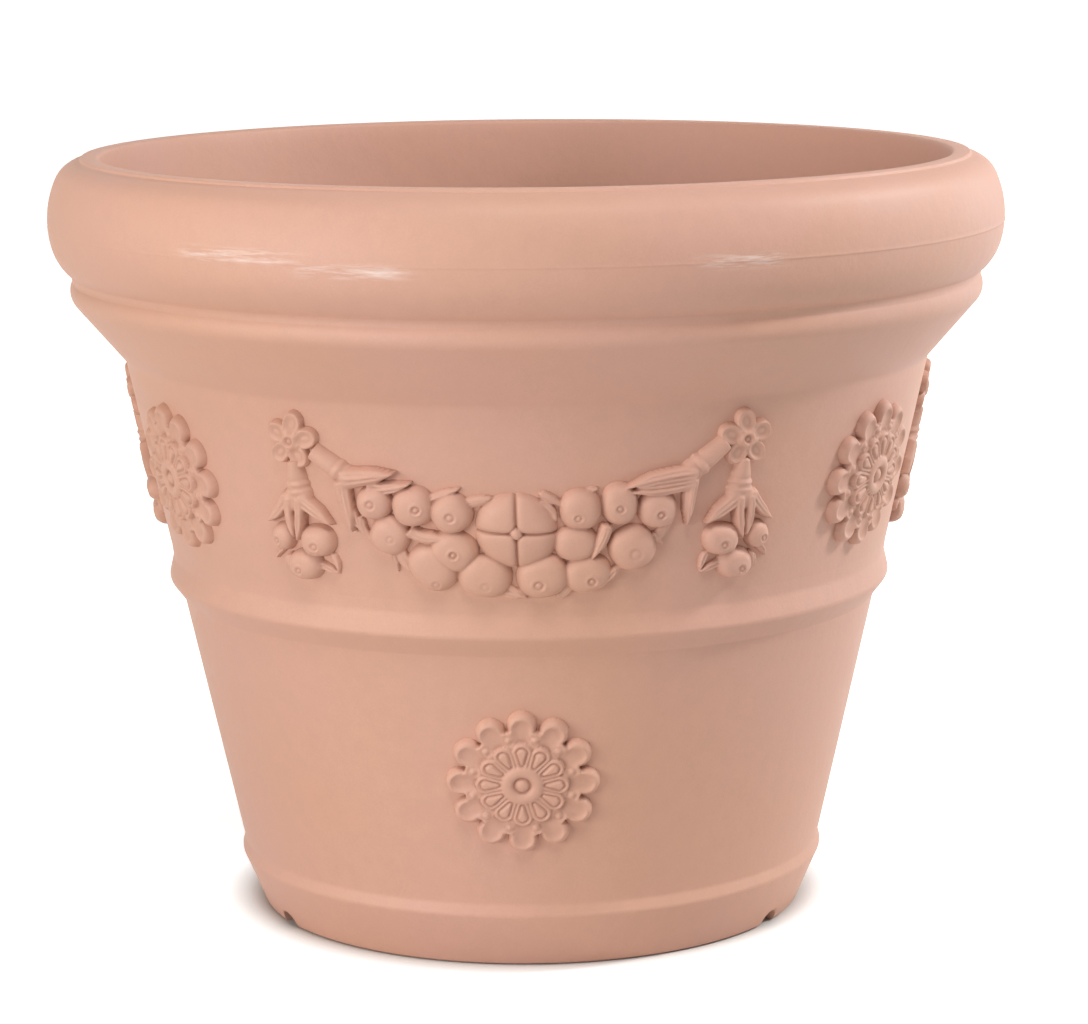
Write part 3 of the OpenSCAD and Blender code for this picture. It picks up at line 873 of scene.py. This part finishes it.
def swag_relief(sizes):
    """Fruits and leaves of a swag, with its straps, from the middle between its flowers."""
    relief = Relief(-136, 136, -66, 48, in_mm(sizes.grid_step))
    fruit, leaf = in_mm(sizes.fruit_proud), in_mm(sizes.leaf_proud)
    high = leaf + 1.6
    # Leaves that show between and behind the fruits
    for spine, width, grooves in (
        ([(-93, -10, 3), (-95, -18, 4.5), (-85.5, -25, 3)], 6.0, (-0.35, 0.35)),
        ([(-97, -6, 3), (-98, -14, 4.5), (-92.5, -19, 3)], 4.5, (0.0,)),
        ([(-70, -28, 3), (-68, -36, 5.0), (-63.5, -43.5, 3)], 7.5, (-0.45, 0.0, 0.45)),
        ([(-75, -30, 2), (-73, -37, 3.5), (-71, -44, 2)], 4.5, (0.0,)),
        ([(-54, 1, 3), (-45, 5.5, 5.0), (-33, 10, 3)], 6.5, (-0.35, 0.35)),
        ([(-31, 0.5, 3), (-23, 2, 5.0), (-14.5, 4.8, 3)], 7.5, (-0.45, 0.0, 0.45)),
        ([(12, 6.8, 3), (19, 4, 5.0), (25.5, -1, 3)], 6.0, (-0.4, 0.3)),
        ([(11, 1, 3), (18, -2, 5.5), (22, -10, 3.5)], 8.0, (-0.45, 0.0, 0.45)),
        ([(38, 8, 2), (43, 7, 3.5), (46, 10, 2)], 5.0, (-0.35, 0.35)),
        ([(54, 8, 2), (58, 11, 3.0), (62, 9, 2)], 5.0, (-0.35, 0.35)),
        ([(-8, -51, 2), (-1, -55.5, 4.5), (5, -58.5, 2)], 6.0, (-0.35, 0.35)),
        ([(-12, -54, 2), (-5, -57, 4.0), (2, -57, 3)], 4.5, (0.0,)),
        ([(22, -58, 2), (26, -54, 4.5), (33, -45, 3)], 7.0, (-0.4, 0.05, 0.5)),
        ([(50, -47, 3), (54, -44, 4.5), (60, -37, 2)], 6.0, (-0.35, 0.35)),
        ([(80, -24, 3), (84, -17, 4.5), (90, -13, 3)], 7.0, (-0.45, 0.0, 0.45)),
        ([(78, -20, 3), (81, -24, 4.0), (84, -28, 3)], 5.0, (-0.35, 0.35)),
    ):
        relief.leaf(spine, width, grooves)
    # Fruits, the lower row first
    for u, v, half_u, half_v, top, turn in (
        (-75.5, -20.5, 12.6, 12.2, -0.6, -20),
        (-50, -39.3, 13.6, 16.2, -0.8, 42),
        (-20, -44.4, 16.0, 13.6, -0.6, -6),
        (13.5, -44.4, 15.6, 13.4, -0.4, 14),
        (39, -43.2, 14.4, 12.0, -0.8, 10),
        (65.5, -28.2, 14.2, 14.0, -0.2, 25),
        (-37.5, -28.5, 14.5, 12.6, 0.0, -28),
        (32.5, -24, 12.8, 11.4, -0.6, 0),
        (-84.5, -0.8, 11.2, 10.6, -0.2, 8),
        (-61, -2, 12.8, 12.4, 0.2, 10),
        (-38.5, -5.5, 12.4, 12.4, 0.0, 35),
        (35.5, -3.2, 12.4, 12.8, -0.2, 0),
        (58, -0.6, 10.8, 13.2, 0.1, 0),
        (80.5, -5, 12.0, 11.8, 0.0, 0),
    ):
        relief.fruit(u, v, half_u + 0.5, half_v + 0.5, fruit + top, turn, 2.25)
    quartered_fruit(relief, fruit)
    for u, v, size, depth in (
        (-85.0, -0.4, 1.1, 0.9),
        (-57.8, -2, 1.0, 1.2),
        (-38.3, -6.2, 1.15, 0.8),
        (33.6, -6.8, 0.9, 0.8),
        (57.2, -1.8, 0.95, 0.9),
        (81, -7, 1.0, 1.1),
        (-73.5, -21.5, 1.0, 0.35),
        (-36.8, -29.4, 0.95, 1.3),
        (66.2, -30.7, 1.5, 0.4),
        (-47, -48.8, 1.0, 0.6),
        (-19, -49.4, 1.1, 0.35),
        (11, -48.2, 1.2, 0.9),
        (41, -46.6, 1.0, 1.0),
    ):
        relief.eye(u, v, size, depth)
    # Leaves over the fruits, then the two sheaves that the straps tie to the flowers
    over = [(-63, -17, high - 1), (-54, -23, high + 1.2), (-40.5, -19, high)]
    relief.leaf(over, 8.5, (-0.5, -0.05, 0.4), root=0.8)
    over = [(50.5, -13, high), (48.5, -22, high + 1.2), (41.5, -32.5, high)]
    relief.leaf(over, 8.0, (-0.45, 0.0, 0.45), root=0.7)
    relief.leaf([(55, -41, 3.5), (52, -47, high - 0.5), (44, -49, 3)], 5.5)
    for spine, width, grooves, taper in (
        ([(-88, 8.5, -2), (-77, 7.2, 0.2), (-61, 13, -0.8)], 9.0, (-0.3, 0.3), 0.2),
        ([(-104.5, 11.5, 0), (-102, -4, 1.4), (-97.2, -20, -0.6)], 11.5, (-0.5, 0.0, 0.45), 0.5),
        ([(-103, 13, 0), (-87, 15.6, 2.0), (-70.5, 18.8, -0.2)], 15.0, (-0.6, -0.15, 0.4), 0.5),
        ([(101.2, 12.5, 0), (98.8, -3, 1.2), (97.8, -16.8, -1)], 10.0, (-0.45, 0.35), 0.45),
        ([(102, 13.5, 0.4), (84, 12, 1.2), (67, 9.8, 0)], 7.0, (0.0,), 0.0),
        ([(101, 10, 0.2), (82, 6.6, 1.7), (63.5, 7.2, -0.2)], 8.6, (-0.35, 0.35), 0.1),
        ([(103, 16.8, 0.2), (83, 17.2, 1.9), (60.5, 9.6, -0.4)], 8.6, (-0.35, 0.3), 0.1),
    ):
        raised = [(u, v, high + more) for u, v, more in spine]
        relief.leaf(raised, width, grooves, root=1.0, depth=1.5, taper=taper)
    relief.strap((-124, 28.5), (-101.5, 13.8), 6.4, 8.0, 5.6, rings=(0.74,), ring_size=0.55)
    relief.strap((124, 33.1), (98, 13.8), 6.4, 8.4, 5.6, rings=(0.64,), ring_size=0.6)
    relief.blur(0.32)
    return relief


# Operators


class POT_OT_body(bpy.types.Operator):
    """Floor, wall, bands and rolled rim of pressed terracotta"""

    bl_idname = "pot.body"
    bl_label = "Pot body"

    def execute(self, context):
        parting = in_mm(context.scene.pot_sizes.parting_step)
        profile, turns = body_profile(parting), body_turns()
        n, m = len(turns), len(profile)
        r, z = (np.repeat(profile[None, :, k], n, 0) for k in (0, 1))
        turn = np.repeat(turns[:, None], m, 1)
        # The wall is a little uneven, as clay dries, but not at the foot or the drain hole
        uneven = 0.25 * waves(3, r * np.sin(turn), z, 260)
        uneven += 0.2 * waves(4, r * np.cos(turn), z, 200)
        outside = np.clip((z - 2) / 20, 0, 1) * np.clip((r - 60) / 60, 0, 1)
        r = r + (uneven * 0.5 - 0.2) * outside
        # The parting line is rubbed down at the left and full at the right
        on_line = (np.abs(z - SEAM_Z - 1.2) < 0.7) & (r > 290)
        rubbed = 0.85 * parting * (0.4 - 0.4 * np.sin(turn - 0.17))
        r = r - np.where(on_line, rubbed, 0)
        r, z = cut_notches(r, z, turn)
        points = np.stack([r * np.sin(turn), -r * np.cos(turn), z], -1).reshape(-1, 3) * MM
        i, j = np.meshgrid(np.arange(n), np.arange(m), indexing="ij")
        i2, j2 = (i + 1) % n, (j + 1) % m
        corners = [i * m + j, i2 * m + j, i2 * m + j2, i * m + j2]
        faces = np.stack(corners, -1).reshape(-1, 4).tolist()
        piece = mesh_object("pot_body_pressed", points, faces, clay_for("body"))
        seat(piece, "pot_body")
        return {"FINISHED"}


class POT_OT_swags(bpy.types.Operator):
    """Swags of fruit and leaves on the upper band"""

    bl_idname = "pot.swags"
    bl_label = "Fruit swags"

    def execute(self, context):
        relief = swag_relief(context.scene.pot_sizes)
        for i, turn in enumerate(THIRD_TURNS, 1):
            lay_sprig(relief, "swag", i, SWAG_Z, turn, SWAG_MID)
        return {"FINISHED"}


class POT_OT_flowers(bpy.types.Operator):
    """Five-petalled flowers at the ends of the swags"""

    bl_idname = "pot.flowers"
    bl_label = "End flowers"

    def execute(self, context):
        sizes = context.scene.pot_sizes
        reliefs = {"left": flower_relief(sizes, -8.0), "right": flower_relief(sizes, 2.0)}
        for i, turn in enumerate(THIRD_TURNS, 1):
            for side, middle in FLOWER_MIDS.items():
                lay_sprig(reliefs[side], "flower", f"{i}_{side}", SWAG_Z, turn, middle)
        return {"FINISHED"}


class POT_OT_pendants(bpy.types.Operator):
    """Leaves and fruits that hang under the end flowers"""

    bl_idname = "pot.pendants"
    bl_label = "Pendants"

    def execute(self, context):
        right = pendant_relief(context.scene.pot_sizes)
        reliefs = {"left": right.mirrored(), "right": right}
        for i, turn in enumerate(THIRD_TURNS, 1):
            for side, middle in FLOWER_MIDS.items():
                lay_sprig(reliefs[side], "pendant", f"{i}_{side}", SWAG_Z, turn, middle)
        return {"FINISHED"}


class POT_OT_rosettes(bpy.types.Operator):
    """Round rosettes between the swags and on the lower band"""

    bl_idname = "pot.rosettes"
    bl_label = "Rosettes"

    def execute(self, context):
        relief = rosette_relief(context.scene.pot_sizes)
        for i, turn in enumerate(THIRD_TURNS, 1):
            lay_sprig(relief, "upper_rosette", i, SWAG_Z, turn + 60)
            lay_sprig(relief, "lower_rosette", i, LOWER_BAND_Z, turn)
        return {"FINISHED"}


# Studio

WHITE = (1.0, 1.0, 1.0)
COOL = (0.85, 0.95, 1.0)
COOL_EDGE = (0.85, 0.93, 1.0)
WARM = (1.0, 0.88, 0.68)
# Softboxes: width and height in metres, watts, place, what each is turned to, and colour. The key is
# at the front left, one hangs high in front, and the rest fill in the sides and what faces down
SOFTBOXES = {
    "key_softbox": (1.8, 0.6, 42.5, (-2.1, -2.0, 0.55), (0, 0, 0.2), WHITE),
    "high_softbox": (1.2, 1.2, 37.0, (0, -1.5, 2.4), (0, 0, 0.3), WHITE),
    "side_softbox": (0.4, 0.4, 46.0, (2.2, 0.23, 1.85), (0, 0, 0.3), WHITE),
    "right_softbox": (0.5, 0.5, 9.0, (2.6, 0.1, 0.4), (0, 0, 0.15), COOL),
    "edge_softbox": (0.6, 1.2, 9.5, (2.0, 1.5, 0.8), (0, 0, 0.3), COOL_EDGE),
    "left_softbox": (1.0, 1.0, 9.5, (-2.6, -0.3, 0.8), (0, 0, 0.25), WARM),
    "low_softbox": (2.0, 0.5, 5.0, (0.2, -2.8, 0.35), (0, 0, 0.2), WHITE),
}
# Strength of the surroundings' own light on the pot
AIR_GLOW = 0.005
# The floor's glow: from and to these distances, in metres, it grows by so much. It stops under the
# foot, so the drain notches stay dark, and fades in over the 28 mm just outside the foot, a painted
# shade round it. It grows again past the softboxes' reach
FLOOR_GLOWS = ((0.172, 0.2, 0.84), (0.4, 2.2, 0.3))


def soft_light(name, wide, high, watts, place, aim, colour):
    """Softbox at a place, turned to face its aim."""
    lamp = bpy.data.lights.new(name, "AREA")
    lamp.shape = "RECTANGLE"
    lamp.size, lamp.size_y = wide, high
    lamp.energy = watts
    lamp.color = colour
    piece = bpy.data.objects.new(name, lamp)
    piece.location = place
    piece.rotation_euler = (Vector(aim) - Vector(place)).to_track_quat("-Z", "Y").to_euler()
    bpy.context.scene.collection.objects.link(piece)


def ray_seen(tree):
    """Socket that is 1 for camera, glossy and transmission rays, and 0 for any other."""
    rays = add_node(tree, "ShaderNodeLightPath").outputs
    seen = rays["Is Camera Ray"]
    for other in ("Is Glossy Ray", "Is Transmission Ray"):
        seen = add_node(
            tree, "ShaderNodeMath", {"operation": "MAXIMUM"}, i0=seen, i1=rays[other]
        ).outputs["Value"]
    return seen


def studio_floor(colours):
    """Plain floor that reads as white to the camera and keeps the pot's shadow."""
    material = bpy.data.materials.new("floor_matt_paint")
    material.use_nodes = True
    tree = material.node_tree
    tree.nodes.clear()
    paint = add_node(tree, "ShaderNodeBsdfDiffuse", Color=colours.floor)
    place = add_node(tree, "ShaderNodeTexCoord").outputs["Object"]
    away = add_node(tree, "ShaderNodeVectorMath", {"operation": "LENGTH"}, i0=place)
    # The glow is none under the foot and rises just outside it, so the floor is painted darker round
    # the foot
    lift, beyond = (
        add_node(
            tree,
            "ShaderNodeMapRange",
            Value=away.outputs["Value"],
            From_Min=near,
            From_Max=far,
            To_Min=0.0,
            To_Max=glow,
        ).outputs["Result"]
        for near, far, glow in FLOOR_GLOWS
    )
    strength = add_node(tree, "ShaderNodeMath", {"operation": "ADD"}, i0=lift, i1=beyond)
    glow = add_node(
        tree, "ShaderNodeEmission", Color=(1, 1, 1, 1), Strength=strength.outputs["Value"]
    )
    lit = add_node(
        tree, "ShaderNodeAddShader", i0=paint.outputs["BSDF"], i1=glow.outputs["Emission"]
    )
    shown = add_node(
        tree,
        "ShaderNodeMixShader",
        i0=ray_seen(tree),
        i1=paint.outputs["BSDF"],
        i2=lit.outputs["Shader"],
    )
    add_node(tree, "ShaderNodeOutputMaterial", Surface=shown.outputs["Shader"])
    bpy.ops.mesh.primitive_plane_add(size=60, location=(0, 0, -0.0005))
    floor = bpy.context.object
    floor.name = "studio_floor"
    floor.data.materials.append(material)


def studio_world():
    """Even pale surroundings, white where the camera sees them."""
    world = bpy.data.worlds.new("studio_air")
    world.use_nodes = True
    tree = world.node_tree
    tree.nodes.clear()
    air = add_node(tree, "ShaderNodeBackground", Color=(1, 1, 1, 1), Strength=AIR_GLOW)
    white = add_node(tree, "ShaderNodeBackground", Color=(1, 1, 1, 1), Strength=1.0)
    shown = add_node(
        tree,
        "ShaderNodeMixShader",
        i0=ray_seen(tree),
        i1=air.outputs["Background"],
        i2=white.outputs["Background"],
    )
    add_node(tree, "ShaderNodeOutputWorld", Surface=shown.outputs["Shader"])
    bpy.context.scene.world = world


# Camera of the photograph, fitted to the pot's rings: metres and radians, for an image 1088 wide
CAMERA_AWAY = 2.2703
CAMERA_UP = 0.6545
CAMERA_PITCH = 0.1777
CAMERA_YAW = 0.0043
CAMERA_ROLL = -0.0077
CAMERA_TURN = math.radians(1.38)
FOCAL_PIXELS = 3608.4
IMAGE_WIDE = 1088
SENSOR_WIDE = 36.0


class POT_OT_studio(bpy.types.Operator):
    """Camera at the photograph's angle, soft lights and a plain floor"""

    bl_idname = "pot.studio"
    bl_label = "Studio"

    def execute(self, context):
        camera = bpy.data.cameras.new("camera")
        camera.sensor_width = SENSOR_WIDE
        camera.lens = FOCAL_PIXELS / IMAGE_WIDE * SENSOR_WIDE
        camera.clip_end = 50
        shot = bpy.data.objects.new("camera", camera)
        context.scene.collection.objects.link(shot)
        ahead = Vector(
            (
                math.sin(CAMERA_YAW) * math.cos(CAMERA_PITCH),
                math.cos(CAMERA_YAW) * math.cos(CAMERA_PITCH),
                -math.sin(CAMERA_PITCH),
            )
        )
        right = Vector((math.cos(CAMERA_YAW), -math.sin(CAMERA_YAW), 0))
        up = right.cross(ahead)
        across = right * math.cos(CAMERA_ROLL) + up * math.sin(CAMERA_ROLL)
        upright = up * math.cos(CAMERA_ROLL) - right * math.sin(CAMERA_ROLL)
        axes = Matrix((across, upright, -ahead)).transposed().to_4x4()
        turned = Matrix.Rotation(CAMERA_TURN, 4, "Z")
        shot.matrix_world = turned @ Matrix.Translation((0, -CAMERA_AWAY, CAMERA_UP)) @ axes
        context.scene.camera = shot
        context.scene.view_settings.view_transform = "Standard"
        studio_world()
        studio_floor(context.scene.pot_colours)
        for name, settings in SOFTBOXES.items():
            soft_light(name, *settings)
        return {"FINISHED"}


class POT_PT_panel(bpy.types.Panel):
    """Lists the pot's pieces, sizes and colours"""

    bl_label = "Terracotta pot"
    bl_idname = "POT_PT_panel"
    bl_space_type = "VIEW_3D"
    bl_region_type = "UI"
    bl_category = "Pot"

    def draw(self, context):
        for operator in OPERATORS:
            self.layout.operator(operator.bl_idname)
        for group in (context.scene.pot_sizes, context.scene.pot_colours):
            for name in group.__annotations__:
                self.layout.prop(group, name)


OPERATORS = (
    POT_OT_studio,
    POT_OT_body,
    POT_OT_swags,
    POT_OT_flowers,
    POT_OT_pendants,
    POT_OT_rosettes,
)
CLASSES = (PotSizes, PotColours, *OPERATORS, POT_PT_panel)


def register():
    """Adds the pot's operators, panel and properties to Blender."""
    for cls in CLASSES:
        bpy.utils.register_class(cls)
    bpy.types.Scene.pot_sizes = PointerProperty(type=PotSizes)
    bpy.types.Scene.pot_colours = PointerProperty(type=PotColours)


def unregister():
    """Takes them out again."""
    del bpy.types.Scene.pot_colours
    del bpy.types.Scene.pot_sizes
    for cls in reversed(CLASSES):
        bpy.utils.unregister_class(cls)


def main():
    register()
    bpy.ops.pot.studio()
    bpy.ops.pot.body()
    bpy.ops.pot.swags()
    bpy.ops.pot.flowers()
    bpy.ops.pot.pendants()
    bpy.ops.pot.rosettes()


if __name__ == "__main__":
    main()
